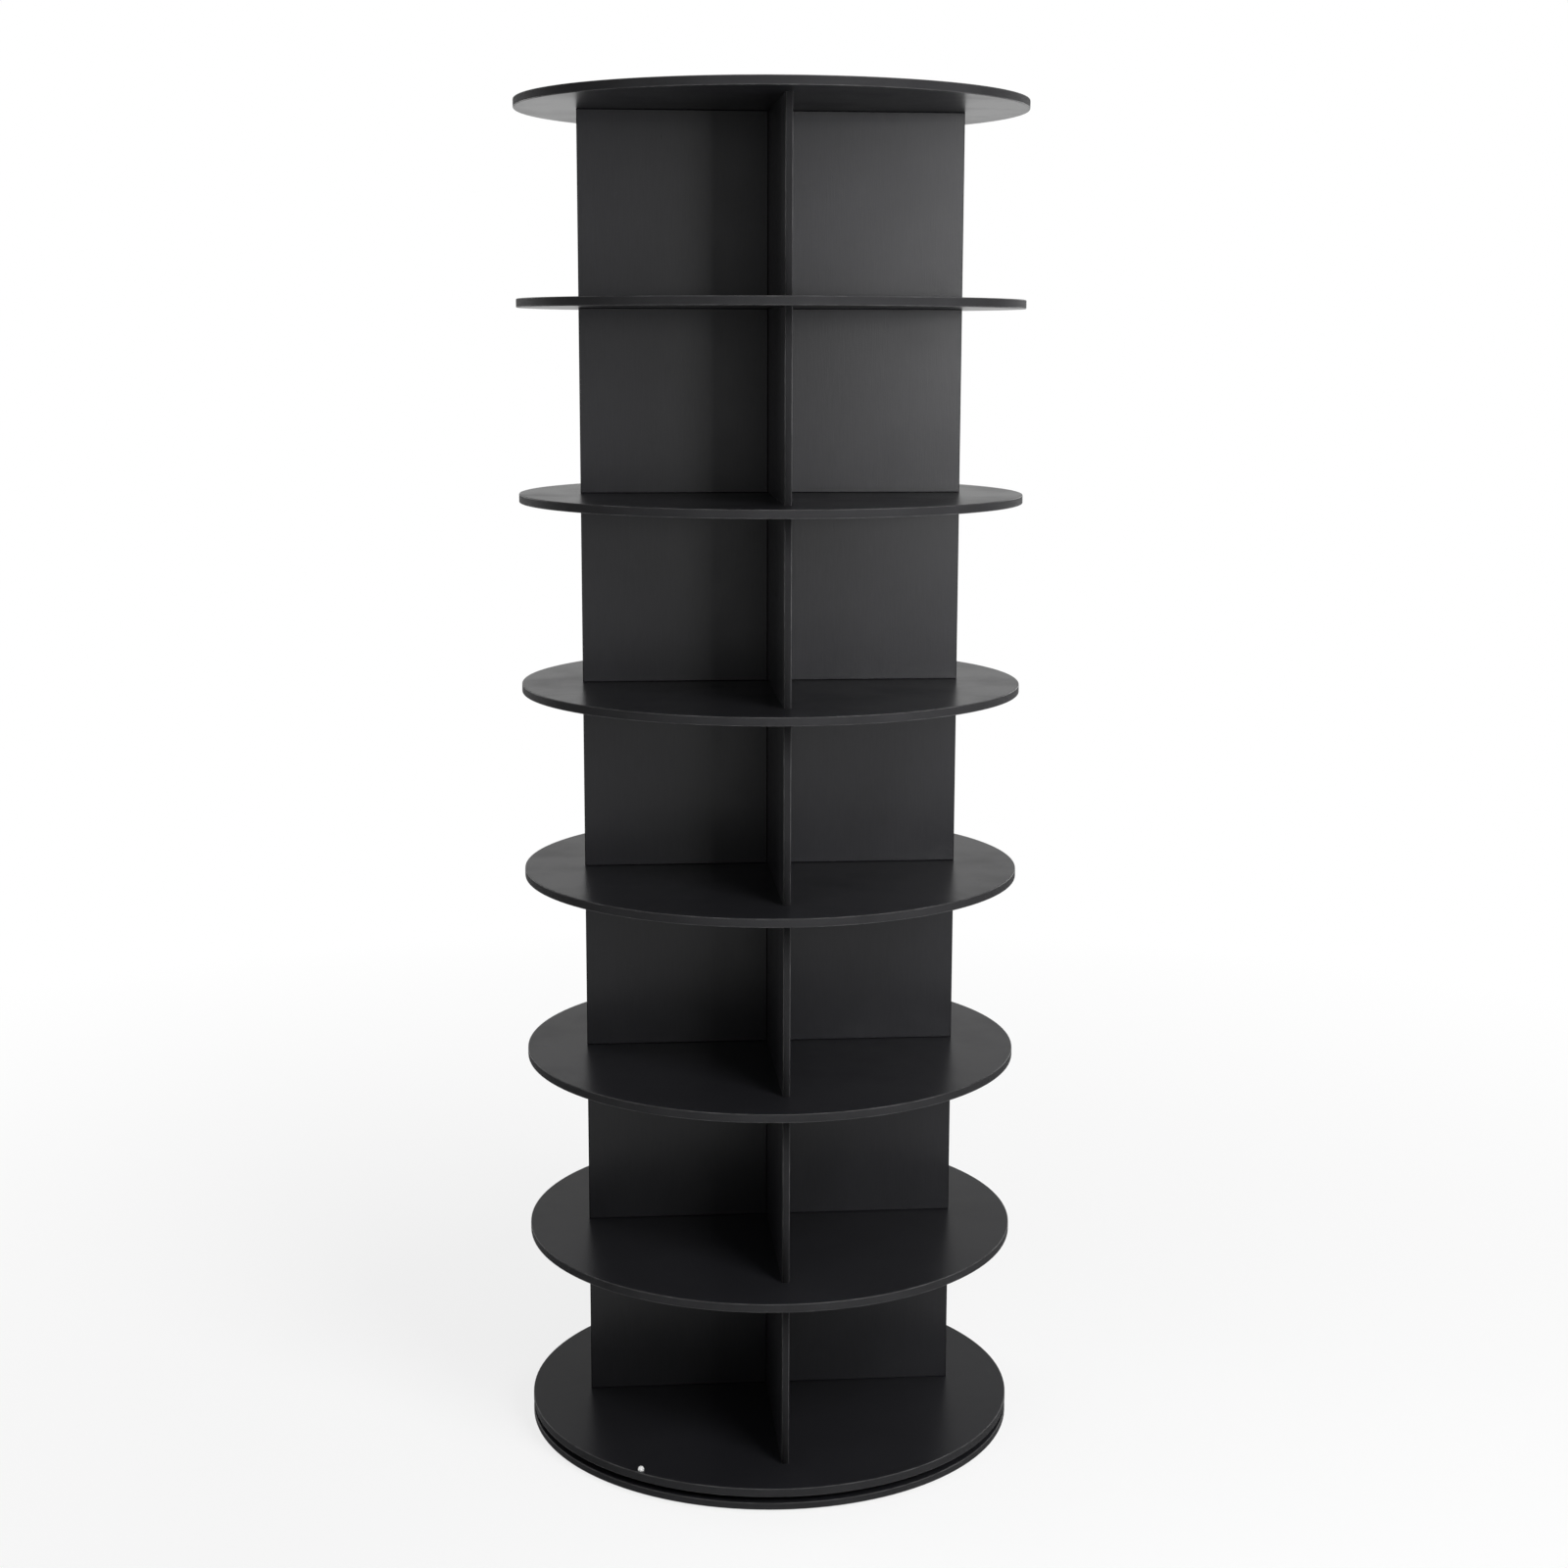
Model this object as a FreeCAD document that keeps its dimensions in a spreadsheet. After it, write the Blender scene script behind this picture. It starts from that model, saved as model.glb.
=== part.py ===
import FreeCAD, Part
import math
import os
import re

import Sketcher

# A rotating shoe tower: eight round boards with seven tiers of crossed upright panels between them.
# It turns on a ring bearing over a fixed base disc.  Millimetres, +Z up, origin on the floor under
# the middle of the base.  The cross panels lie along X and the dividers along Y.

TIERS = 7
ARMS = 4

SIZES = {
    # boards
    "disc_diameter": 700,
    "disc_thickness": 12,
    "panel_thickness": 10,
    "cross_panel_width": 530,
    "divider_reach": 275,
    "tier_height": 252,
    # joinery between the boards
    "tenon_radius": 160,
    "tenon_length": 60,
    "tenon_thickness": 5,
    "tenon_side_gap": 0.1,
    "tenon_end_gap": 0.5,
    "housing_depth": 2,
    # base and feet
    "base_thickness": 10,
    "foot_size": 30,
    "foot_thickness": 3,
    "foot_inset": 40,
    # ring bearing
    "bearing_height": 8.5,
    "ring_relief": 1,
    "ring_width": 24,
    "race_radius": 176,
    "race_lip": 0.9,
    "ball_diameter": 5,
    "ball_play": 0.05,
    "cage_thickness": 1,
    "cage_web": 0.8,
    "cage_finger_rise": 1.8,
    "notch_play": 0.1,
    # screws through the rings
    "screw_diameter": 4,
    "screw_head_diameter": 7.6,
    "screw_length": 15,
    "screw_play": 0.1,
    "access_hole_diameter": 12,
    # plug near the rim of the bottom disc, its centre that far inside the rim
    "plug_head_diameter": 8.8,
    "plug_head_height": 6.5,
    "plug_stem_diameter": 5,
    "plug_stem_length": 8,
    "plug_play": 0.1,
    "plug_inset": 6.5,
}
PLUG_BEARING = -125.5
BALLS = 16
RING_SCREWS = 4
FEET = 8
# The ring screws stand between the arms of the panels, clear of the tenons above them.
SCREW_TURN = 180 / ARMS
# Flats round the smallest turned pieces, which are drawn as facets to keep the model light.
BALL_SIDES = 8
SCREW_SIDES = 12
PLUG_SIDES = 20
PLUG_DOME_STEPS = 4
# A profile point nearer the axis than this is on the axis.
POINT = 1e-6

doc = FreeCAD.newDocument("RotatingShoeTower")


# ---------------------------------------------------------------- sizes

def make_sheet():
    """Puts every driving dimension in the spreadsheet under its own alias."""
    sheet = doc.addObject("Spreadsheet::Sheet", "Sizes")
    for row, (name, value) in enumerate(SIZES.items(), start=1):
        sheet.set(f"A{row}", name)
        sheet.set(f"B{row}", str(value))
        sheet.setAlias(f"B{row}", name)
    doc.recompute()
    return sheet


sheet = make_sheet()


def size(name):
    """The present value of one driving dimension."""
    return float(sheet.get(name))


def cell_of(word):
    """A size's name as its spreadsheet cell; any other word, such as sqrt, as it is."""
    return f"Sizes.{word}" if word in SIZES else word


def bound(expression):
    """The expression with each size's name pointed at the spreadsheet."""
    return re.sub(r"[a-z_]+", lambda found: cell_of(found.group()), expression)


def value_of(expression):
    """The present value of an expression written in sizes' names."""
    return float(sheet.evalExpression(bound(expression)))


BASE_TOP = "foot_thickness + base_thickness"
TOWER_FLOOR = f"{BASE_TOP} + bearing_height"
RING_HEIGHT = "bearing_height - ring_relief"
INNER_RING_LEVEL = f"{BASE_TOP} + ring_relief"
BALL_LEVEL = f"{BASE_TOP} + bearing_height / 2"
TENON_HEIGHT = "( disc_thickness / 2 - tenon_end_gap )"
FOOT_CIRCLE = "disc_diameter / 2 - foot_inset"
PLUG_CIRCLE = "( disc_diameter / 2 - plug_inset )"


def disc_level(index):
    """Underside of a disc; 0 is the bottom disc and TIERS the lid."""
    return f"{TOWER_FLOOR} + {index} * ( tier_height + disc_thickness )"


def panel_level(tier):
    """Lower edge of the panels in a tier, counted from 1 at the bottom."""
    return f"{disc_level(tier - 1)} + disc_thickness"


# ---------------------------------------------------------------- helpers

def start_body(name, level="0"):
    """A named body whose origin stands at the given height."""
    body = doc.addObject("PartDesign::Body", name)
    body.Label = name
    body.setExpression("Placement.Base.z", bound(level))
    return body


def origin_item(body, role):
    """One of the body's own origin planes or axes."""
    return next(item for item in body.Origin.OriginFeatures if item.Role == role)


def bind_distance(sketch, axis, geometry, position, expression):
    """Ties one coordinate of a sketch point to an expression in sizes' names."""
    amount = value_of(expression)
    rule = Sketcher.Constraint(f"Distance{axis}", -1, 1, geometry, position, amount)
    index = sketch.addConstraint(rule)
    sketch.setExpression(f"Constraints[{index}]", bound(expression))


def start_sketch(body, role, name, lift=None):
    """An empty sketch on one of the body's planes, raised along its normal by lift."""
    sketch = body.newObject("Sketcher::SketchObject", name)
    sketch.AttachmentSupport = [(origin_item(body, role), "")]
    sketch.MapMode = "FlatFace"
    if lift:
        sketch.setExpression("AttachmentOffset.Base.z", bound(lift))
    return sketch


def polygon_sketch(body, role, name, corners, lift=None):
    """A closed outline whose corners are pairs of expressions in sizes' names."""
    sketch = start_sketch(body, role, name, lift)
    points = [FreeCAD.Vector(value_of(across), value_of(up), 0) for across, up in corners]
    count = len(points)
    for index in range(count):
        sketch.addGeometry(Part.LineSegment(points[index], points[(index + 1) % count]))
    for index in range(count):
        following = (index + 1) % count
        sketch.addConstraint(Sketcher.Constraint("Coincident", index, 2, following, 1))
    for index, (across, up) in enumerate(corners):
        bind_distance(sketch, "X", index, 1, across)
        bind_distance(sketch, "Y", index, 1, up)
    return sketch


def rectangle_sketch(body, role, name, low, high, lift=None):
    """A rectangle between two corners given as pairs of expressions."""
    corners = [low, (high[0], low[1]), high, (low[0], high[1])]
    return polygon_sketch(body, role, name, corners, lift)


def circle_sketch(body, role, name, diameter, centre=("0", "0"), lift=None):
    """A circle whose centre is a pair of expressions in sizes' names."""
    sketch = start_sketch(body, role, name, lift)
    middle = FreeCAD.Vector(value_of(centre[0]), value_of(centre[1]), 0)
    sketch.addGeometry(Part.Circle(middle, FreeCAD.Vector(0, 0, 1), value_of(diameter) / 2))
    bind_distance(sketch, "X", 0, 3, centre[0])
    bind_distance(sketch, "Y", 0, 3, centre[1])
    index = sketch.addConstraint(Sketcher.Constraint("Diameter", 0, value_of(diameter)))
    sketch.setExpression(f"Constraints[{index}]", bound(diameter))
    return sketch


def add_pad(body, sketch, name, length, midplane=False):
    """Raises a sketch into a solid, to one side or evenly to both."""
    pad = body.newObject("PartDesign::Pad", name)
    pad.Profile = sketch
    pad.setExpression("Length", bound(length))
    pad.SideType = "Symmetric" if midplane else "One side"
    return pad


def add_pocket(body, sketch, name, depth, reverse=False):
    """Cuts a sketch into the body, to the side that reverse picks."""
    pocket = body.newObject("PartDesign::Pocket", name)
    pocket.Profile = sketch
    pocket.setExpression("Length", bound(depth))
    pocket.Reversed = reverse
    return pocket


def revolve(body, sketch, name):
    """Turns a sketch on an upright plane right round the body's own axis."""
    turned = body.newObject("PartDesign::Revolution", name)
    turned.Profile = sketch
    turned.ReferenceAxis = (sketch, ["V_Axis"])
    turned.Angle = 360
    return turned


def add_polar(body, feature, name, count):
    """Repeats a feature evenly round the body's upright axis."""
    pattern = body.newObject("PartDesign::PolarPattern", name)
    pattern.Originals = [feature]
    pattern.Axis = (origin_item(body, "Z_Axis"), [""])
    pattern.Angle = 360
    pattern.Occurrences = count
    body.Tip = pattern
    return pattern


def round_points(radius, count, start=0.0):
    """Points spread evenly round the tower's axis, with their angles in degrees."""
    for index in range(count):
        angle = start + 360 * index / count
        turn = math.radians(angle)
        yield FreeCAD.Vector(radius * math.cos(turn), radius * math.sin(turn), 0), angle


def faceted_solid(profile, sides):
    """A turned solid drawn with flats, from (radius, height) points listed from one end to the other.

    The corners lie on the true surface.  A profile that starts or ends off the axis gets a flat face.
    """
    rings = []
    for radius, height in profile:
        places = [place for place, _ in round_points(radius, sides)]
        rings.append([place + FreeCAD.Vector(0, 0, height) for place in places])
    outlines = [rings[end] for end in (0, -1) if profile[end][0] > POINT]
    for index in range(len(rings) - 1):
        near, far = rings[index], rings[index + 1]
        for side in range(sides):
            following = (side + 1) % sides
            corners = [near[side]]
            if profile[index][0] > POINT:
                corners.append(near[following])
            if profile[index + 1][0] > POINT:
                corners.append(far[following])
            corners.append(far[side])
            outlines.append(corners)
    faces = [Part.Face(Part.makePolygon(corners + corners[:1])) for corners in outlines]
    solid = Part.makeSolid(Part.makeShell(faces))
    if solid.Volume < 0:
        solid.reverse()
    return solid


def shape_feature(name, solids):
    """A sub-part made of one solid, or of several alike solids."""
    feature = doc.addObject("Part::Feature", name)
    feature.Label = name
    feature.Shape = solids[0] if len(solids) == 1 else Part.makeCompound(solids)
    return feature


# ---------------------------------------------------------------- boards

def cut_mortises(body, name, depth, lift, reverse):
    """Four mortises, one under or over each arm of the crossed panels."""
    half_length = "( tenon_length / 2 + tenon_side_gap )"
    half_width = "( tenon_thickness / 2 + tenon_side_gap )"
    low = (f"tenon_radius - {half_length}", f"0 - {half_width}")
    high = (f"tenon_radius + {half_length}", half_width)
    sketch = rectangle_sketch(body, "XY_Plane", f"{name}_outline", low, high, lift)
    pocket = add_pocket(body, sketch, name, depth, reverse)
    return add_polar(body, pocket, f"{name}_round", ARMS)


def make_disc(name, index):
    """A round board with mortises for the panels that meet it."""
    body = start_body(name, disc_level(index))
    outline = circle_sketch(body, "XY_Plane", f"{name}_rim", "disc_diameter")
    add_pad(body, outline, f"{name}_board", "disc_thickness")
    if index == 0:
        cut_mortises(body, f"{name}_mortise", "disc_thickness / 2", "disc_thickness", False)
        cut_plug_hole(body)
    elif index == TIERS:
        cut_mortises(body, f"{name}_mortise", "disc_thickness / 2", None, True)
    else:
        cut_mortises(body, f"{name}_mortise", "disc_thickness", None, True)
    return body


def cut_plug_hole(body):
    """The blind hole near the rim that the plug's stem sits in."""
    centre = [f"{PLUG_CIRCLE} * {part}" for part in plug_direction()]
    width = "plug_stem_diameter + 2 * plug_play"
    outline = circle_sketch(body, "XY_Plane", "plug_hole_rim", width, centre, "disc_thickness")
    add_pocket(body, outline, "plug_hole", "plug_stem_length + plug_play")


def add_tenon_strip(body, name, role, low_end, high_end):
    """A strip inside the panel whose two ends stand out above and below as tenons."""
    low = (low_end, f"0 - {TENON_HEIGHT}")
    high = (high_end, f"tier_height + {TENON_HEIGHT}")
    sketch = rectangle_sketch(body, role, f"{name}_outline", low, high)
    return add_pad(body, sketch, name, "tenon_thickness", midplane=True)


def make_cross_panel(tier):
    """The full-width panel of a tier, housed on both faces for the dividers."""
    name = f"cross_panel_{tier}"
    body = start_body(name, panel_level(tier))
    low = ("0 - cross_panel_width / 2", "0")
    high = ("cross_panel_width / 2", "tier_height")
    outline = rectangle_sketch(body, "XZ_Plane", f"{name}_outline", low, high)
    add_pad(body, outline, f"{name}_board", "panel_thickness", midplane=True)
    inner = "tenon_radius - tenon_length / 2"
    outer = "tenon_radius + tenon_length / 2"
    add_tenon_strip(body, f"{name}_right_tenons", "XZ_Plane", inner, outer)
    add_tenon_strip(body, f"{name}_left_tenons", "XZ_Plane", f"0 - ( {outer} )", f"0 - ( {inner} )")
    cut_housing(body, f"{name}_front_housing", "panel_thickness / 2", False)
    cut_housing(body, f"{name}_rear_housing", "0 - panel_thickness / 2", True)
    return body


def cut_housing(body, name, face, reverse):
    """A shallow upright groove as wide as a divider, down the middle of one face."""
    low = ("0 - panel_thickness / 2", "0")
    high = ("panel_thickness / 2", "tier_height")
    outline = rectangle_sketch(body, "XZ_Plane", f"{name}_outline", low, high, face)
    add_pocket(body, outline, name, "housing_depth", reverse)


def make_divider(side, tier):
    """A half-width panel from the cross panel's housing to the divider's outer edge."""
    name = f"{side}_divider_{tier}"
    body = start_body(name, panel_level(tier))
    sign = "0 -" if side == "front" else "0 +"
    inner = f"{sign} ( panel_thickness / 2 - housing_depth )"
    outer = f"{sign} divider_reach"
    outline = rectangle_sketch(body, "YZ_Plane", f"{name}_outline", (inner, "0"), (outer, "tier_height"))
    add_pad(body, outline, f"{name}_board", "panel_thickness", midplane=True)
    tenon_inner = f"{sign} ( tenon_radius - tenon_length / 2 )"
    tenon_outer = f"{sign} ( tenon_radius + tenon_length / 2 )"
    add_tenon_strip(body, f"{name}_tenons", "YZ_Plane", tenon_inner, tenon_outer)
    return body


def make_base_disc():
    """The fixed board, as wide as the tower, with the hole that the inner ring's screws go through."""
    body = start_body("base_disc", "foot_thickness")
    outline = circle_sketch(body, "XY_Plane", "base_rim", "disc_diameter")
    add_pad(body, outline, "base_board", "base_thickness")
    turn = math.radians(SCREW_TURN)
    place = [f"( {screw_circle(False)} ) * {part}" for part in (math.cos(turn), math.sin(turn))]
    hole = circle_sketch(body, "XY_Plane", "access_hole_rim", "access_hole_diameter", place)
    add_pocket(body, hole, "access_hole", "base_thickness", True)
    return body


def make_foot_pads():
    """Square pads under the base disc, turned to follow its rim."""
    side = size("foot_size")
    pads = []
    for centre, angle in round_points(value_of(FOOT_CIRCLE), FEET, 180 / FEET):
        pad = Part.makeBox(side, side, size("foot_thickness"), FreeCAD.Vector(-side / 2, -side / 2, 0))
        pad.rotate(FreeCAD.Vector(0, 0, 0), FreeCAD.Vector(0, 0, 1), angle)
        pad.translate(centre)
        pads.append(pad)
    return shape_feature("foot_pads", pads)


# ---------------------------------------------------------------- ring bearing

RACE_APEX = "( ball_diameter / 2 + ball_play ) * sqrt(2)"


def turn_ring(name, outward, level):
    """A flat ring with a V race on the edge that faces the balls."""
    body = start_body(f"{name}_turned", level)
    sign = "+" if outward else "-"
    lip = f"race_radius {sign} race_lip"
    apex = f"race_radius {sign} {RACE_APEX}"
    rim = f"race_radius {sign} race_lip {sign} ring_width"
    middle = f"{BALL_LEVEL} - ( {level} )"
    mouth = f"( {RACE_APEX} - race_lip )"
    corners = [
        (lip, "0"),
        (rim, "0"),
        (rim, RING_HEIGHT),
        (lip, RING_HEIGHT),
        (lip, f"{middle} + {mouth}"),
        (apex, middle),
        (lip, f"{middle} - {mouth}"),
    ]
    profile = polygon_sketch(body, "XZ_Plane", f"{name}_profile", corners)
    revolve(body, profile, f"{name}_section")
    return body


def make_ring(name, outward, level):
    """One bearing ring: the turned ring less the countersunk seats of its screws."""
    seats = shape_feature(f"{name}_screw_seats", set_screws(outward, size("screw_play")))
    seats.Placement.Base.z = value_of(head_level(outward))
    ring = doc.addObject("Part::Cut", name)
    ring.Label = name
    ring.Base = turn_ring(name, outward, level)
    ring.Tool = seats
    return ring


def screw_circle(outward):
    """Radius of the circle that a ring's screws stand on."""
    sign = "+" if outward else "-"
    return f"race_radius {sign} ( race_lip + ring_width / 2 )"


def screw_profile(play):
    """Outline of a countersunk screw from the head's face to its point, widened all round by play."""
    shank = size("screw_diameter") / 2
    head = size("screw_head_diameter") / 2
    length = size("screw_length")
    point = length - 1.5 * shank
    return [(head + play, 0), (shank + play, head - shank), (shank + play, point), (0, length)]


def set_screws(outward, play):
    """One screw shape at each screw place of a ring, with its head's face at height zero."""
    places = round_points(value_of(screw_circle(outward)), RING_SCREWS, SCREW_TURN)
    screws = []
    for centre, _ in places:
        screw = faceted_solid(screw_profile(play), SCREW_SIDES)
        if outward:
            screw.rotate(FreeCAD.Vector(0, 0, 0), FreeCAD.Vector(1, 0, 0), 180)
        screw.translate(centre)
        screws.append(screw)
    return screws


def head_level(outward):
    """Height of the screw heads' faces: on top of the outer ring, or under the inner ring."""
    return f"{BASE_TOP} + {RING_HEIGHT}" if outward else INNER_RING_LEVEL


def make_screws(name, outward):
    """Countersunk screws through one ring into the board behind it."""
    screws = set_screws(outward, 0)
    for screw in screws:
        screw.translate(FreeCAD.Vector(0, 0, value_of(head_level(outward))))
    return shape_feature(name, screws)


def ball_profile():
    """Half outline of a ball whose corners all lie on the true sphere."""
    radius = size("ball_diameter") / 2
    bands = BALL_SIDES // 2
    turns = [math.pi * band / bands for band in range(bands + 1)]
    return [(radius * math.sin(turn), -radius * math.cos(turn)) for turn in turns]


def make_balls():
    """The bearing balls, evenly round the races."""
    balls = []
    for centre, _ in round_points(size("race_radius"), BALLS):
        ball = faceted_solid(ball_profile(), BALL_SIDES)
        ball.translate(centre + FreeCAD.Vector(0, 0, value_of(BALL_LEVEL)))
        balls.append(ball)
    return shape_feature("bearing_balls", balls)


def make_cage():
    """A thin comb ring between the bearing rings, with one notch for each ball."""
    body = start_body("bearing_cage", f"{BALL_LEVEL} - ball_diameter / 2 - notch_play - cage_web")
    inner = "race_radius - cage_thickness / 2"
    outer = "race_radius + cage_thickness / 2"
    top = "cage_web + notch_play + ball_diameter / 2 + cage_finger_rise"
    outline = rectangle_sketch(body, "XZ_Plane", "cage_profile", (inner, "0"), (outer, top))
    revolve(body, outline, "cage_ring")
    half = "( ball_diameter / 2 + notch_play )"
    low = (f"0 - {half}", "cage_web")
    high = (half, top)
    cut = rectangle_sketch(body, "YZ_Plane", "cage_notch_outline", low, high, "race_radius - cage_thickness")
    notch = add_pocket(body, cut, "cage_notch", "2 * cage_thickness", True)
    add_polar(body, notch, "cage_notches", BALLS)
    return body


# ---------------------------------------------------------------- plug

def plug_direction():
    """Unit direction from the axis to the plug, seen from above."""
    turn = math.radians(PLUG_BEARING)
    return math.cos(turn), math.sin(turn)


def make_plug():
    """A small round plug: a domed head on the board and a stem in its hole."""
    stem = size("plug_stem_diameter") / 2
    head = size("plug_head_diameter") / 2
    height = size("plug_head_height")
    profile = [(stem, -size("plug_stem_length")), (stem, 0)]
    for step in range(PLUG_DOME_STEPS + 1):
        rise = math.pi / 2 * step / PLUG_DOME_STEPS
        profile.append((head * math.cos(rise), height * math.sin(rise)))
    plug = faceted_solid(profile, PLUG_SIDES)
    across, along = (value_of(PLUG_CIRCLE) * part for part in plug_direction())
    plug.translate(FreeCAD.Vector(across, along, value_of(panel_level(1))))
    return shape_feature("rim_plug", [plug])


# ---------------------------------------------------------------- assembly

def make_tower():
    """Every sub-part, from the floor up."""
    parts = [make_foot_pads(), make_base_disc()]
    parts.append(make_ring("bearing_outer_ring", True, BASE_TOP))
    parts.append(make_ring("bearing_inner_ring", False, INNER_RING_LEVEL))
    parts.append(make_screws("outer_ring_screws", True))
    parts.append(make_screws("inner_ring_screws", False))
    parts.append(make_balls())
    parts.append(make_cage())
    parts.append(make_disc("bottom_disc", 0))
    parts.append(make_plug())
    for tier in range(1, TIERS + 1):
        parts.append(make_cross_panel(tier))
        parts.append(make_divider("front", tier))
        parts.append(make_divider("rear", tier))
        if tier < TIERS:
            parts.append(make_disc(f"shelf_disc_{tier}", tier))
    parts.append(make_disc("top_disc", TIERS))
    return parts


def check_document(parts):
    """Stops if any object failed or any sub-part isn't a sound solid."""
    for item in doc.Objects:
        if "Invalid" in item.State or "Error" in item.State:
            raise RuntimeError(f"{item.Name} failed: {item.State}")
    for part in parts:
        if part.Shape.isNull() or not part.Shape.isValid() or not part.Shape.Solids:
            raise RuntimeError(f"{part.Label} has no sound solid")


def write_parts(parts):
    """One STEP file for each sub-part, named after it."""
    os.makedirs("parts", exist_ok=True)
    for part in parts:
        part.Shape.exportStep(os.path.join("parts", f"{part.Label}.step"))
        print(f"{part.Label}: {len(part.Shape.Solids)} solid(s), {part.Shape.Volume / 1000:.1f} cm3")


parts = make_tower()
doc.recompute()
check_document(parts)
write_parts(parts)
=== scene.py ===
import math

import bmesh
import bpy
from mathutils import Matrix, Vector


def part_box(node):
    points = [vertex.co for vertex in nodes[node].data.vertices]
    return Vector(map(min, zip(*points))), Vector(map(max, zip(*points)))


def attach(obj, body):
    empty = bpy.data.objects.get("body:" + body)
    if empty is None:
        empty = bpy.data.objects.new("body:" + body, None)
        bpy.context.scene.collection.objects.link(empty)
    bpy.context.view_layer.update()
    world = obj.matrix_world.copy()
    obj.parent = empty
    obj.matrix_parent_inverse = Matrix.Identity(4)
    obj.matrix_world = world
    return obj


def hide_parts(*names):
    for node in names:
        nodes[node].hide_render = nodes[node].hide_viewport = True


# The rotating shoe tower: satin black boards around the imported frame, its ring bearing and its feet.
# Metres. The tower stands on z = 0 and turns about Z; the viewer is on the -Y side.

MM = 0.001
X, Y, Z = range(3)
TOUCHING = 0.01 * MM

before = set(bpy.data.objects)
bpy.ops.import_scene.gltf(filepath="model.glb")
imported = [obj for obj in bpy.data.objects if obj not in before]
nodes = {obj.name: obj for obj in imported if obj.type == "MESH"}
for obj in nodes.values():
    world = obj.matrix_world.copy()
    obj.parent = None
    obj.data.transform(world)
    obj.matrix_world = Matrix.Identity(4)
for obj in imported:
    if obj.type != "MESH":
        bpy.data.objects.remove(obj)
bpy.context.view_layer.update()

# ---------------------------------------------------------------- camera

# From the fit to the edges in the photograph: metres, then radians, then the lens in millimetres.
CAMERA_DISTANCE = 3.4316
CAMERA_HEIGHT = 1.5644
CAMERA_SIDE = 0.0193
CAMERA_TURN = 0.0862
CAMERA_PITCH = 0.18012
CAMERA_ROLL = 0.00277
CAMERA_LENS = 56.10


def make_camera():
    """The camera at the photograph's place, given by its turn, pitch and roll in radians."""
    ahead = Vector((math.sin(CAMERA_TURN), math.cos(CAMERA_TURN), 0))
    right = Vector((math.cos(CAMERA_TURN), -math.sin(CAMERA_TURN), 0))
    up = Vector((0, 0, 1))
    place = right * CAMERA_SIDE - ahead * CAMERA_DISTANCE + up * CAMERA_HEIGHT
    view = ahead * math.cos(CAMERA_PITCH) - up * math.sin(CAMERA_PITCH)
    lift = ahead * math.sin(CAMERA_PITCH) + up * math.cos(CAMERA_PITCH)
    side = right * math.cos(CAMERA_ROLL) + lift * math.sin(CAMERA_ROLL)
    top = lift * math.cos(CAMERA_ROLL) - right * math.sin(CAMERA_ROLL)
    data = bpy.data.cameras.new("camera")
    data.lens = CAMERA_LENS
    camera = bpy.data.objects.new("camera", data)
    bpy.context.scene.collection.objects.link(camera)
    turn = Matrix((side, top, -view)).transposed().to_4x4()
    camera.matrix_world = Matrix.Translation(place) @ turn
    bpy.context.scene.camera = camera


# ---------------------------------------------------------------- shader helpers

# Most values of a noise lie in NOISE_BAND, which is spread over a wider range.
UNIT = (0.0, 1.0)
NOISE_BAND = (0.3, 0.7)
WHITE = (1.0, 1.0, 1.0, 1.0)


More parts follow.
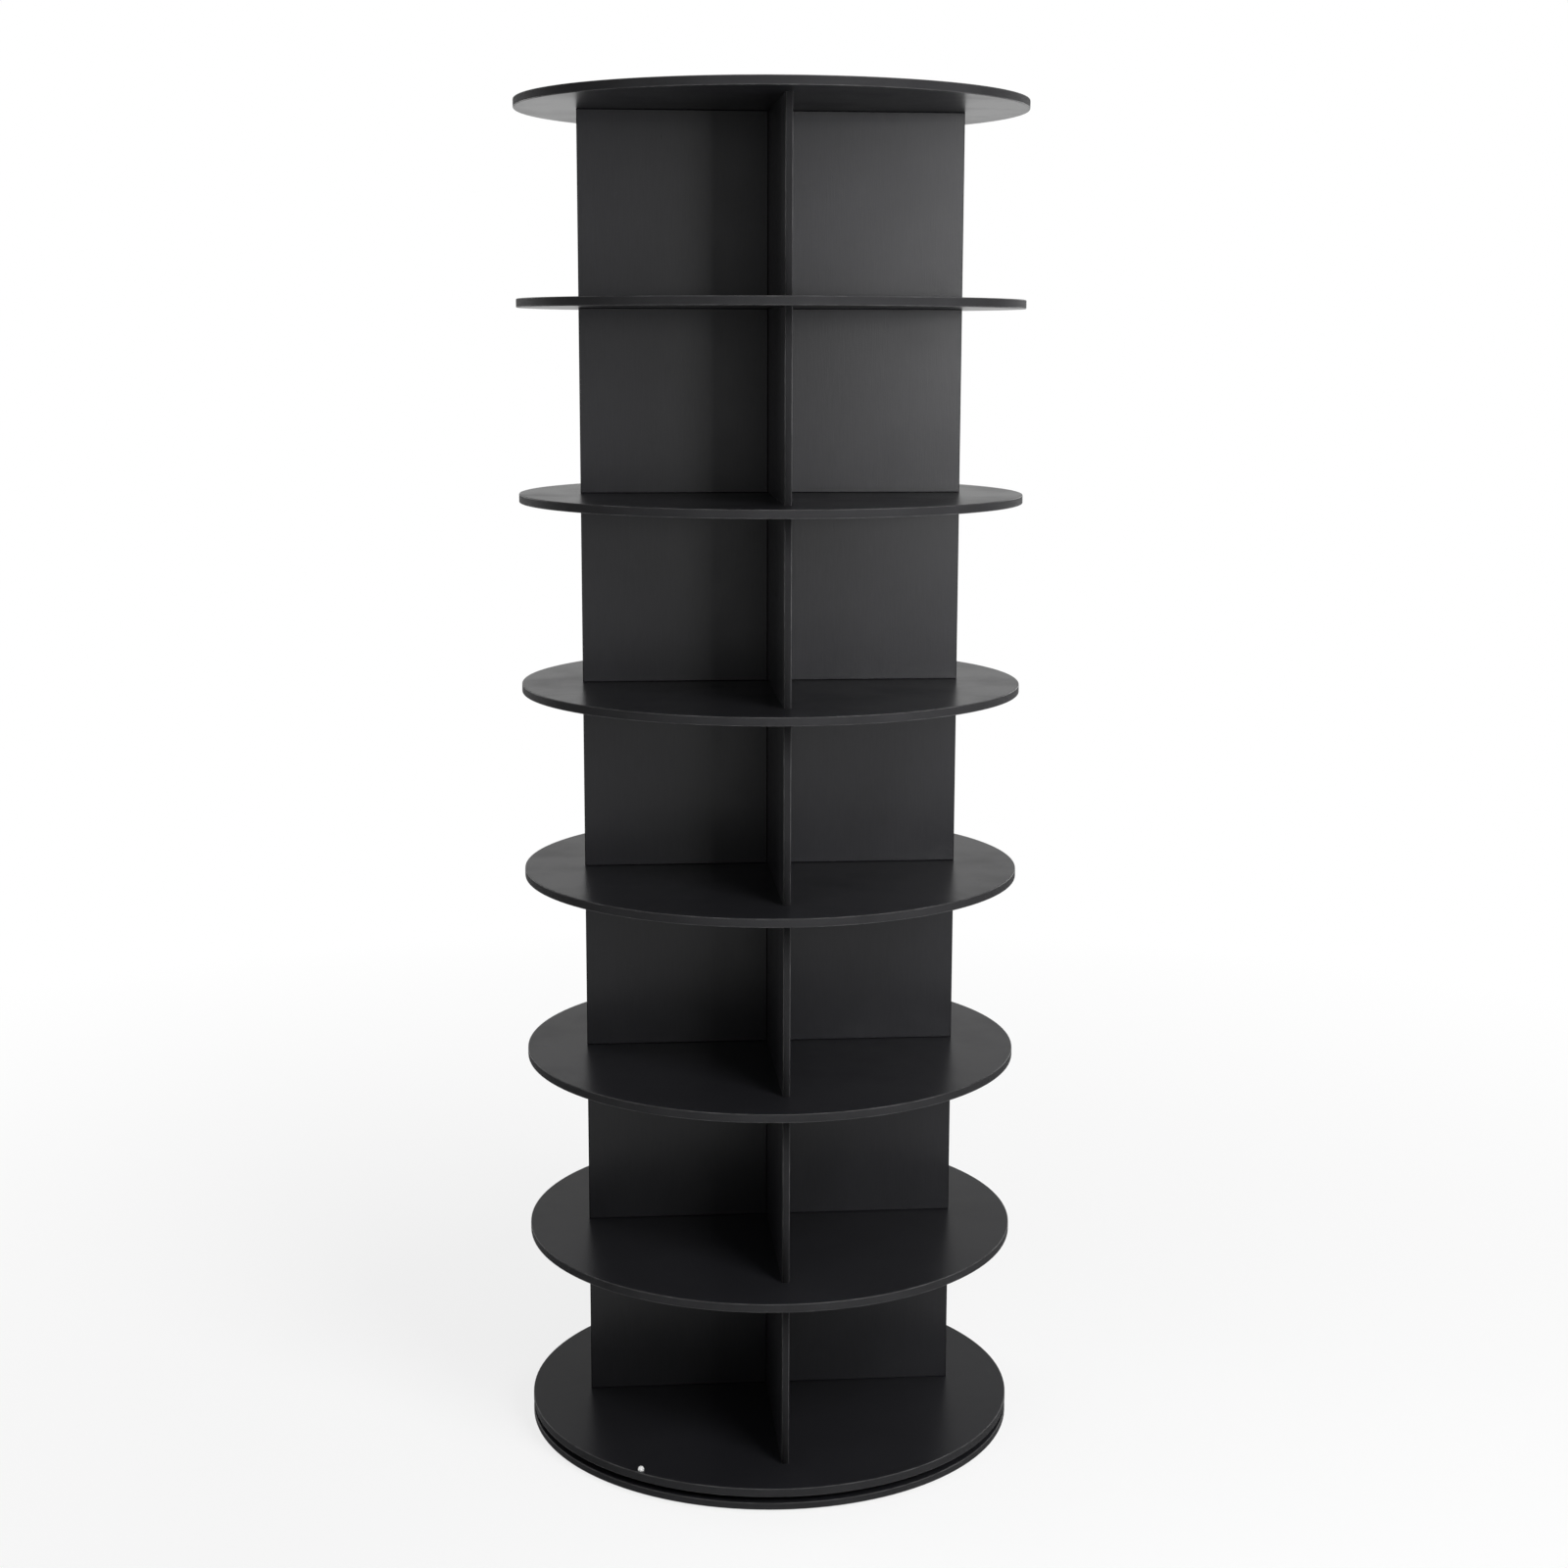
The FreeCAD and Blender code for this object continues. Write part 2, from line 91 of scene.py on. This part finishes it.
class Shader:
    """A material under construction, with short ways to add and join nodes."""

    def __init__(self, name):
        self.material = bpy.data.materials.new(name)
        self.material.use_nodes = True
        self.tree = self.material.node_tree
        self.surface = self.tree.nodes["Principled BSDF"]
        self.output = self.tree.nodes["Material Output"]
        self.place = self.add("ShaderNodeTexCoord").outputs["Object"]

    def add(self, kind, **values):
        """A new node with its sockets set by name."""
        node = self.tree.nodes.new(kind)
        for name, value in values.items():
            node.inputs[name].default_value = value
        return node

    def link(self, source, target):
        """Joins an output socket to an input socket."""
        self.tree.links.new(source, target)

    def stretched(self, scale):
        """The object's coordinates multiplied by a different amount along each axis."""
        mapping = self.add("ShaderNodeMapping", Scale=scale)
        self.link(self.place, mapping.inputs["Vector"])
        return mapping.outputs["Vector"]

    def noise(self, scale, detail=3.0, roughness=0.5, place=None):
        """Noise from 0 to 1, with scale in waves per metre."""
        node = self.add("ShaderNodeTexNoise", Scale=scale, Detail=detail, Roughness=roughness)
        self.link(place or self.place, node.inputs["Vector"])
        return node.outputs["Fac"]

    def remap(self, source, band, reach=UNIT):
        """A value moved from one range to another and held inside it."""
        node = self.tree.nodes.new("ShaderNodeMapRange")
        node.clamp = True
        for socket, value in zip(node.inputs[1:5], (*band, *reach)):
            socket.default_value = value
        self.link(source, node.inputs["Value"])
        return node.outputs["Result"]

    def math(self, operation, first, second):
        """One sum of two values, each a socket or a number."""
        node = self.tree.nodes.new("ShaderNodeMath")
        node.operation = operation
        for socket, value in zip(node.inputs, (first, second)):
            if isinstance(value, (int, float)):
                socket.default_value = value
            else:
                self.link(value, socket)
        return node.outputs["Value"]

    def mix(self, factor, first, second):
        """A colour between two, each a socket or three numbers."""
        node = self.tree.nodes.new("ShaderNodeMix")
        node.data_type = "RGBA"
        self.link(factor, node.inputs["Factor"])
        for name, colour in (("A", first), ("B", second)):
            socket = [item for item in node.inputs if item.name == name and item.type == "RGBA"][0]
            if isinstance(colour, tuple):
                socket.default_value = (*colour, 1.0)
            else:
                self.link(colour, socket)
        return [item for item in node.outputs if item.type == "RGBA"][0]

    def bump(self, height, distance, strength=1.0, under=None):
        """A surface normal raised by a height, over another normal if one is given."""
        node = self.add("ShaderNodeBump", Strength=strength, Distance=distance)
        self.link(height, node.inputs["Height"])
        if under:
            self.link(under, node.inputs["Normal"])
        return node.outputs["Normal"]

    def finish(self, colour=None, roughness=None, normal=None, **constants):
        """Joins what is given to the surface and sets the rest as plain values."""
        for name, socket in (("Base Color", colour), ("Roughness", roughness), ("Normal", normal)):
            if socket:
                self.link(socket, self.surface.inputs[name])
        for name, value in constants.items():
            self.surface.inputs[name.replace("_", " ")].default_value = value
        return self.material


def shade(colour, factor):
    """A colour made lighter or darker."""
    return tuple(channel * factor for channel in colour)


# ---------------------------------------------------------------- materials

BOARD_BLACK = (0.0115, 0.0115, 0.0134)
DISC_EDGE_BLACK = (0.0250, 0.0249, 0.0262)
# Painted shade: the panels' edge band is the discs' edge band made darker.
SHADED_PANEL_EDGE_BLACK = (0.0180, 0.0179, 0.0189)
# Painted light on the rounded corners: a highlight on discs and dividers, a shade on the cross panels.
ARRIS_HIGHLIGHT_BLACK = (0.0460, 0.0457, 0.0470)
ARRIS_SHADE_BLACK = (0.0060, 0.0060, 0.0066)
DULL_ALUMINIUM = (0.60, 0.61, 0.62)
BRIGHT_ALUMINIUM = (0.74, 0.75, 0.76)
BALL_STEEL = (0.78, 0.78, 0.80)
ZINC_PLATE = (0.62, 0.63, 0.65)
NATURAL_NYLON = (0.72, 0.70, 0.64)
PLUG_WHITE = (0.80, 0.80, 0.79)
FOAM_BLACK = (0.012, 0.012, 0.012)
FOAM_GREY = (0.04, 0.04, 0.04)

BOARD_ROUGHNESS = (0.26, 0.32)
SCUFF_ROUGHNESS = 0.06
PORE_ROUGHNESS = 0.05
EDGE_ROUGHNESS = (0.52, 0.62)
ARRIS_ROUGHNESS = (0.30, 0.42)
TURNED_ROUGHNESS = (0.26, 0.44)
BALL_ROUGHNESS = (0.08, 0.16)
ZINC_ROUGHNESS = (0.25, 0.42)
NYLON_ROUGHNESS = (0.42, 0.55)
PLUG_ROUGHNESS = (0.22, 0.32)
FOAM_ROUGHNESS = (0.8, 0.95)

BOARD_SPECULAR = 0.25
EDGE_SPECULAR = 0.02
ARRIS_SPECULAR = 0.06

# Waves per metre along X, Y and Z: few along a grain or a tool mark, and many across it.
DISC_GRAIN = (40.0, 900.0, 900.0)
PANEL_GRAIN = (900.0, 900.0, 40.0)
TRIMMING_LINES = (30.0, 30.0, 1400.0)
LATHE_LINES = (60.0, 60.0, 2500.0)


def board_face_material(name, grain):
    """Satin black laminate: faint mottling, a pressed grain along one axis, scuffs and handling marks."""
    shader = Shader(name)
    mottle = shader.remap(shader.noise(5.0, 4.0), NOISE_BAND)
    colour = shader.mix(mottle, shade(BOARD_BLACK, 0.86), shade(BOARD_BLACK, 1.16))
    pores = shader.noise(1.0, 5.0, 0.62, shader.stretched(grain))
    colour = shader.mix(shader.remap(pores, (0.35, 0.75), (0.0, 0.35)), colour, shade(BOARD_BLACK, 1.7))
    smears = shader.remap(shader.noise(9.0, 5.0, 0.6), (0.45, 0.72))
    scuffs = shader.remap(shader.noise(60.0, 6.0, 0.7), (0.66, 0.74))
    colour = shader.mix(shader.math("MULTIPLY", scuffs, 0.22), colour, shade(BOARD_BLACK, 2.4))
    roughness = shader.remap(smears, UNIT, BOARD_ROUGHNESS)
    roughness = shader.math("ADD", roughness, shader.math("MULTIPLY", scuffs, SCUFF_ROUGHNESS))
    roughness = shader.math("ADD", roughness, shader.math("MULTIPLY", pores, PORE_ROUGHNESS))
    pebble = shader.noise(1100.0, 2.0, 0.5)
    normal = shader.bump(pores, 0.12 * MM, 0.5, shader.bump(pebble, 0.06 * MM, 0.6))
    return shader.finish(colour, roughness, normal, Specular_IOR_Level=BOARD_SPECULAR)


def board_edge_material(name, black):
    """Black edge band: more matt than the faces, with fine lines from trimming."""
    shader = Shader(name)
    drift = shader.remap(shader.noise(14.0, 4.0), NOISE_BAND)
    colour = shader.mix(drift, shade(black, 0.9), shade(black, 1.15))
    lines = shader.noise(1.0, 3.0, 0.6, shader.stretched(TRIMMING_LINES))
    roughness = shader.remap(lines, NOISE_BAND, EDGE_ROUGHNESS)
    normal = shader.bump(lines, 0.05 * MM, 0.5)
    return shader.finish(colour, roughness, normal, Specular_IOR_Level=EDGE_SPECULAR)


def board_arris_material(name, black):
    """A board's rounded corners: a given black as painted highlight or painted shade, paler in patches."""
    shader = Shader(name)
    painted_light_patches = shader.remap(shader.noise(35.0, 6.0, 0.65), (0.4, 0.7))
    # This colour is painted highlight or painted shade, in patches.
    colour = shader.mix(painted_light_patches, shade(black, 0.8), shade(black, 1.7))
    roughness = shader.remap(painted_light_patches, UNIT, ARRIS_ROUGHNESS)
    normal = shader.bump(painted_light_patches, 0.03 * MM)
    return shader.finish(colour, roughness, normal, Specular_IOR_Level=ARRIS_SPECULAR)


def aluminium_material(name):
    """Turned aluminium with fine rings from the lathe."""
    shader = Shader(name)
    marks = shader.noise(1.0, 3.0, 0.6, shader.stretched(LATHE_LINES))
    stain = shader.remap(shader.noise(22.0, 5.0), (0.35, 0.7))
    colour = shader.mix(stain, DULL_ALUMINIUM, BRIGHT_ALUMINIUM)
    roughness = shader.remap(marks, NOISE_BAND, TURNED_ROUGHNESS)
    return shader.finish(colour, roughness, shader.bump(marks, 0.04 * MM), Metallic=1.0)


def steel_material(name, colour, roughness):
    """Bright steel, polished or zinc plated, with small streaks, between two roughnesses."""
    shader = Shader(name)
    streaks = shader.noise(420.0, 4.0, 0.6)
    tint = shader.mix(shader.remap(streaks, NOISE_BAND), shade(colour, 0.82), colour)
    polish = shader.remap(streaks, NOISE_BAND, roughness)
    return shader.finish(tint, polish, shader.bump(streaks, 0.02 * MM), Metallic=1.0)


def plastic_material(name, colour, roughness):
    """Moulded plastic with a faint cloudiness and a fine skin, between two roughnesses."""
    shader = Shader(name)
    cloud = shader.remap(shader.noise(160.0, 3.0), NOISE_BAND)
    tint = shader.mix(cloud, shade(colour, 0.94), colour)
    skin = shader.noise(2600.0, 2.0)
    return shader.finish(tint, shader.remap(cloud, UNIT, roughness), shader.bump(skin, 0.02 * MM))


def foam_material(name):
    """Dense black foam rubber with open cells."""
    shader = Shader(name)
    cells = shader.noise(1500.0, 3.0, 0.7)
    colour = shader.mix(shader.remap(cells, (0.35, 0.65)), FOAM_BLACK, FOAM_GREY)
    roughness = shader.remap(cells, NOISE_BAND, FOAM_ROUGHNESS)
    return shader.finish(colour, roughness, shader.bump(cells, 0.4 * MM))


# ---------------------------------------------------------------- boards

ARRIS = 1.1 * MM
PAD_ARRIS = 0.6 * MM
ARRIS_STEPS = 3
SHARP_ANGLE = math.radians(30)
FLAT_ANGLE = math.radians(0.5)
RIM_MARGIN = 0.5 * MM
LARGEST_FACE_WINS = 100
BROADSIDE = 0.9
FACE, EDGE, CORNER = 0, 1, 2


def clear_facets(piece):
    """Joins the split corners of a CAD mesh and clears the lines across its flat faces."""
    weld = piece.modifiers.new("weld", "WELD")
    weld.merge_threshold = TOUCHING
    flatten = piece.modifiers.new("flatten", "DECIMATE")
    flatten.decimate_type = "DISSOLVE"
    flatten.angle_limit = FLAT_ANGLE
    flatten.delimit = {"MATERIAL"}
    piece.data.shade_smooth()


def round_edges(piece, width, limit, corner_slot):
    """Rounds the edges of a piece that a limit picks out, and keeps its large faces flat to the eye."""
    bevel = piece.modifiers.new("arris", "BEVEL")
    bevel.width = width
    bevel.segments = ARRIS_STEPS
    bevel.limit_method = limit
    bevel.angle_limit = SHARP_ANGLE
    bevel.material = corner_slot
    flat = piece.modifiers.new("flat_faces", "WEIGHTED_NORMAL")
    flat.mode = "FACE_AREA"
    flat.weight = LARGEST_FACE_WINS


def mark_outline(board, thin_axis):
    """Marks the edges round both faces of a board, and none round its holes and mortises."""
    mesh = board.data
    points = [vertex.co for vertex in mesh.vertices]
    low = min(point[thin_axis] for point in points)
    high = max(point[thin_axis] for point in points)
    rim = max(math.hypot(point.x, point.y) for point in points) - RIM_MARGIN if thin_axis == Z else 0
    marks = mesh.attributes.new("bevel_weight_edge", "FLOAT", "EDGE")
    for edge, mark in zip(mesh.edges, marks.data):
        ends = [points[index] for index in edge.vertices]
        on_face = any(all(abs(end[thin_axis] - level) < TOUCHING for end in ends) for level in (low, high))
        on_rim = all(math.hypot(end.x, end.y) > rim for end in ends)
        mark.value = 1.0 if on_face and on_rim else 0.0


def set_materials(piece, *materials):
    """Gives a piece these materials, in order, as its slots."""
    piece.data.materials.clear()
    for material in materials:
        piece.data.materials.append(material)


def dress_board(name, thin_axis, materials):
    """A CAD board: laminate on its two faces, edge band round its edges, rounded corners."""
    board = nodes[name]
    set_materials(board, *materials)
    for polygon in board.data.polygons:
        across = abs(polygon.normal[thin_axis]) > BROADSIDE
        polygon.material_index = FACE if across else EDGE
    mark_outline(board, thin_axis)
    clear_facets(board)
    round_edges(board, ARRIS, "WEIGHT", CORNER)


def dress_boards():
    """Every disc and panel, the grain running along X on discs and upright on panels.

    The corners of the discs and dividers get a painted highlight, and the cross panels' a painted shade.
    """
    disc_edge = board_edge_material("disc_edge", DISC_EDGE_BLACK)
    # The panels' edge band is darker than the discs': painted shade.
    shaded_panel_edge = board_edge_material("shaded_panel_edge", SHADED_PANEL_EDGE_BLACK)
    # Painted highlight along the rounded corners of discs and dividers.
    highlight_corner = board_arris_material("highlight_arris", ARRIS_HIGHLIGHT_BLACK)
    # Painted shade along the cross panels' rounded corners, darker than their faces.
    shaded_corner = board_arris_material("shaded_arris", ARRIS_SHADE_BLACK)
    flat = board_face_material("disc_face", DISC_GRAIN)
    upright = board_face_material("panel_face", PANEL_GRAIN)
    for name in nodes:
        if name.endswith("_disc") or "_disc_" in name:
            dress_board(name, Z, (flat, disc_edge, highlight_corner))
        elif name.startswith("cross_panel"):
            dress_board(name, Y, (upright, shaded_panel_edge, shaded_corner))
        elif "_divider_" in name:
            dress_board(name, X, (upright, shaded_panel_edge, highlight_corner))


# ---------------------------------------------------------------- small parts

def new_piece(name, mesh, body, replaced, material):
    """A new mesh that rides on a body and stands for a CAD node."""
    piece = bpy.data.objects.new(name, mesh)
    bpy.context.scene.collection.objects.link(piece)
    mesh.materials.append(material)
    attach(piece, body)
    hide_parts(replaced)
    return piece


def lathe(builder, profile, centre, sides, turn=None):
    """Adds a turned solid from (radius, height) points to a mesh, turned by a matrix if one is given."""
    place = Matrix.Translation(centre) @ (turn or Matrix.Identity(4))
    rings = []
    for radius, height in profile:
        if radius == 0:
            rings.append([builder.verts.new(place @ Vector((0, 0, height)))])
            continue
        angles = [2 * math.pi * side / sides for side in range(sides)]
        points = [Vector((radius * math.cos(a), radius * math.sin(a), height)) for a in angles]
        rings.append([builder.verts.new(place @ point) for point in points])
    for near, far in zip(rings, rings[1:]):
        for side in range(sides):
            following = (side + 1) % sides
            corners = [near[side % len(near)], near[following % len(near)]]
            corners += [far[following % len(far)], far[side % len(far)]]
            unique = list(dict.fromkeys(corners))
            builder.faces.new(unique)


def finish_mesh(builder, name):
    """Turns what was built into a mesh with smooth faces and sharp corners."""
    bmesh.ops.recalc_face_normals(builder, faces=builder.faces)
    mesh = bpy.data.meshes.new(name)
    builder.to_mesh(mesh)
    builder.free()
    mesh.shade_smooth()
    mesh.set_sharp_from_angle(angle=SHARP_ANGLE)
    return mesh


def angle_round_axis(box):
    """Where a box stands round the tower's axis."""
    low, high = box
    return math.atan2(low.y + high.y, low.x + high.x)


def ring_of_islands(name):
    """The boxes of a CAD node's separate solids, in their order round the tower's axis."""
    builder = bmesh.new()
    builder.from_mesh(nodes[name].data)
    bmesh.ops.remove_doubles(builder, verts=builder.verts, dist=TOUCHING)
    left = set(builder.verts)
    boxes = []
    while left:
        seeds = [left.pop()]
        island = list(seeds)
        while seeds:
            vertex = seeds.pop()
            for edge in vertex.link_edges:
                other = edge.other_vert(vertex)
                if other in left:
                    left.remove(other)
                    seeds.append(other)
                    island.append(other)
        low = Vector(min(v.co[axis] for v in island) for axis in range(3))
        high = Vector(max(v.co[axis] for v in island) for axis in range(3))
        boxes.append((low, high))
    builder.free()
    return sorted(boxes, key=angle_round_axis)


BALL_SUBDIVISIONS = 3


def make_balls(material):
    """True round balls in place of the faceted ones."""
    builder = bmesh.new()
    for low, high in ring_of_islands("bearing_balls"):
        place = Matrix.Translation((low + high) / 2)
        radius = (high.z - low.z) / 2
        bmesh.ops.create_icosphere(builder, subdivisions=BALL_SUBDIVISIONS, radius=radius, matrix=place)
    mesh = finish_mesh(builder, "ball_set")
    new_piece("ball_set", mesh, "ball_cage", "bearing_balls", material)


RECESS_DEPTH = 1.4 * MM
RECESS_RADIUS = 1.9 * MM
RECESS_FLOOR_SHARE = 0.45
SHANK_SHARE = 0.52
POINT_SHARE = 1.5
SCREW_SIDES = 32


def make_screws(name, body, replaced, heads_up, material):
    """Round countersunk screws, each with a driver recess, in place of the faceted ones.

    The shank's radius is a share of the head's, and the point is as long as a share of the shank's radius.
    """
    builder = bmesh.new()
    flip = Matrix.Identity(4) if heads_up else Matrix.Rotation(math.pi, 4, "X")
    for low, high in ring_of_islands(replaced):
        head = (high.x - low.x) / 2
        length = high.z - low.z
        shank = head * SHANK_SHARE
        profile = [
            (0, -RECESS_DEPTH),
            (RECESS_RADIUS * RECESS_FLOOR_SHARE, -RECESS_DEPTH),
            (RECESS_RADIUS, 0),
            (head, 0),
            (shank, shank - head),
            (shank, POINT_SHARE * shank - length),
            (0, -length),
        ]
        centre = (low + high) / 2
        centre.z = high.z if heads_up else low.z
        lathe(builder, profile, centre, SCREW_SIDES, flip)
    mesh = finish_mesh(builder, name)
    new_piece(name, mesh, body, replaced, material)


PLUG_STEPS = 12
PLUG_SIDES = 48
STEM_SHARE = 0.56
DOME_START = -0.15 * math.pi


def make_plug(material):
    """The white plug near the rim of the bottom disc: a stem under a dome that is undercut a little."""
    low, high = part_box("rim_plug")
    board_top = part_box("bottom_disc")[1].z
    centre = Vector(((low.x + high.x) / 2, (low.y + high.y) / 2, board_top))
    radius = (high.x - low.x) / 2
    rise = high.z - board_top
    stem = radius * STEM_SHARE
    profile = [(0, low.z - board_top), (stem, low.z - board_top), (stem, 0)]
    for step in range(PLUG_STEPS + 1):
        turn = DOME_START + (math.pi / 2 - DOME_START) * step / PLUG_STEPS
        height = rise * (math.sin(turn) - math.sin(DOME_START)) / (1 - math.sin(DOME_START))
        profile.append((radius * math.cos(turn) if step < PLUG_STEPS else 0, height))
    builder = bmesh.new()
    lathe(builder, profile, centre, PLUG_SIDES)
    mesh = finish_mesh(builder, "plug_dome")
    new_piece("plug_dome", mesh, "tower", "rim_plug", material)


def dress_small_parts():
    """The bearing, its screws, the feet and the plug."""
    aluminium = aluminium_material("aluminium")
    for name in ("bearing_outer_ring", "bearing_inner_ring"):
        set_materials(nodes[name], aluminium)
        nodes[name].data.shade_smooth()
        nodes[name].data.set_sharp_from_angle(angle=SHARP_ANGLE)
    nylon = plastic_material("nylon", NATURAL_NYLON, NYLON_ROUGHNESS)
    set_materials(nodes["bearing_cage"], nylon)
    make_balls(steel_material("ball_steel", BALL_STEEL, BALL_ROUGHNESS))
    zinc = steel_material("zinc", ZINC_PLATE, ZINC_ROUGHNESS)
    make_screws("outer_screw_set", "base", "outer_ring_screws", True, zinc)
    make_screws("inner_screw_set", "tower", "inner_ring_screws", False, zinc)
    set_materials(nodes["foot_pads"], foam_material("foam"))
    clear_facets(nodes["foot_pads"])
    round_edges(nodes["foot_pads"], PAD_ARRIS, "ANGLE", 0)
    make_plug(plastic_material("white_plastic", PLUG_WHITE, PLUG_ROUGHNESS))


# ---------------------------------------------------------------- surroundings

FLOOR_DROP = 0.2 * MM
FLOOR_SIZE = 30
FLOOR_CELLS = 8
FLOOR_GREY = (0.88, 0.88, 0.88)
FLOOR_PALE = (0.90, 0.90, 0.90)
FLOOR_SHADE_NEAR = 0.22
FLOOR_SHADE_REACH = (0.8, 3.0)


def make_floor():
    """A plain white floor that keeps the tower's soft shadow and runs into the white background."""
    builder = bmesh.new()
    bmesh.ops.create_grid(builder, x_segments=FLOOR_CELLS, y_segments=FLOOR_CELLS, size=FLOOR_SIZE)
    mesh = bpy.data.meshes.new("floor")
    builder.to_mesh(mesh)
    builder.free()
    floor = bpy.data.objects.new("floor", mesh)
    floor.location.z = -FLOOR_DROP
    bpy.context.scene.collection.objects.link(floor)
    shader = Shader("floor")
    cloud = shader.remap(shader.noise(3.0), UNIT)
    shader.finish(shader.mix(cloud, FLOOR_GREY, FLOOR_PALE), Roughness=0.9, Specular_IOR_Level=0.1)
    glow = shader.add("ShaderNodeEmission", Strength=1.0)
    reach = shader.tree.nodes.new("ShaderNodeVectorMath")
    reach.operation = "LENGTH"
    shader.link(shader.place, reach.inputs[0])
    white = shader.remap(reach.outputs["Value"], FLOOR_SHADE_REACH, (1 - FLOOR_SHADE_NEAR, 1.0))
    path = shader.add("ShaderNodeLightPath")
    seen = shader.math("MAXIMUM", path.outputs["Is Camera Ray"], path.outputs["Is Glossy Ray"])
    seen = shader.math("MAXIMUM", seen, path.outputs["Is Transmission Ray"])
    part = shader.math("MULTIPLY", seen, white)
    blend = shader.add("ShaderNodeMixShader")
    shader.link(part, blend.inputs["Fac"])
    shader.link(shader.surface.outputs["BSDF"], blend.inputs[1])
    shader.link(glow.outputs["Emission"], blend.inputs[2])
    shader.link(blend.outputs["Shader"], shader.output.inputs["Surface"])
    mesh.materials.append(shader.material)


AMBIENT = 0.25
BACKDROP_TOP = 0.25
BACKDROP_RISE = (0.05, 0.38)


def make_world():
    """A white backdrop, dimmer overhead where it is only mirrored, and a plain ambient level for the rest."""
    world = bpy.data.worlds.new("world")
    bpy.context.scene.world = world
    world.use_nodes = True
    tree = world.node_tree
    background = tree.nodes["Background"]
    path = tree.nodes.new("ShaderNodeLightPath")
    direction = tree.nodes.new("ShaderNodeTexCoord")
    split = tree.nodes.new("ShaderNodeSeparateXYZ")
    tree.links.new(direction.outputs["Generated"], split.inputs["Vector"])
    rise = tree.nodes.new("ShaderNodeMapRange")
    for socket, value in zip(rise.inputs[1:5], (*BACKDROP_RISE, 1.0, BACKDROP_TOP)):
        socket.default_value = value
    tree.links.new(split.outputs["Z"], rise.inputs["Value"])
    mirrored = tree.nodes.new("ShaderNodeMath")
    mirrored.operation = "MAXIMUM"
    tree.links.new(path.outputs["Is Glossy Ray"], mirrored.inputs[0])
    tree.links.new(path.outputs["Is Transmission Ray"], mirrored.inputs[1])
    in_mirrors = (mirrored.outputs[0], rise.outputs["Result"])
    to_camera = (path.outputs["Is Camera Ray"], 1.0)
    level = AMBIENT
    for seen, brightness in (in_mirrors, to_camera):
        blend = tree.nodes.new("ShaderNodeMix")
        tree.links.new(seen, blend.inputs["Factor"])
        for socket, value in zip(blend.inputs[2:4], (level, brightness)):
            if isinstance(value, float):
                socket.default_value = value
            else:
                tree.links.new(value, socket)
        level = blend.outputs["Result"]
    tree.links.new(level, background.inputs["Strength"])
    background.inputs["Color"].default_value = WHITE


def make_lamp(name, place, target, size, power):
    """A soft rectangular lamp that faces a point: its width and height in metres, its power in watts."""
    data = bpy.data.lights.new(name, "AREA")
    data.shape = "RECTANGLE"
    data.size, data.size_y = size
    data.energy = power
    lamp = bpy.data.objects.new(name, data)
    bpy.context.scene.collection.objects.link(lamp)
    lamp.location = place
    lamp.rotation_euler = (Vector(target) - Vector(place)).to_track_quat("-Z", "Y").to_euler()
    lamp.visible_camera = False
    return lamp


def make_lamps():
    """A tall key, a far lamp for the sheen on the panels, two weak fills in front and two broad ones behind.

    The key is kept out of reflections, because it would wash out the disc tops from behind. The far lamp is
    seen in reflections alone.
    """
    key = make_lamp("key", place=(1.18, -2.0, 1.88), target=(0, 0, 1.5), size=(1.1, 1.5), power=71)
    key.visible_glossy = False
    sheen = make_lamp("sheen", place=(2.9, -8.0, 1.8), target=(2.9, 0, 1.8), size=(1.6, 1.4), power=240)
    sheen.visible_diffuse = False
    make_lamp("front_right", place=(2.6, -2.4, 1.4), target=(0, 0, 1.1), size=(1.6, 1.6), power=5)
    make_lamp("front_left", place=(-1.9, -2.1, 2.4), target=(0, 0, 1.8), size=(1.3, 1.3), power=8)
    make_lamp("back_right", place=(2.6, 2.4, 1.5), target=(0, 0, 1.1), size=(1.6, 1.6), power=24)
    make_lamp("back_left", place=(-2.6, 2.4, 1.5), target=(0, 0, 1.1), size=(1.6, 1.6), power=30)


# ---------------------------------------------------------------- scene

make_camera()
dress_boards()
dress_small_parts()
make_floor()
make_world()
make_lamps()
bpy.context.scene.view_settings.view_transform = "Standard"
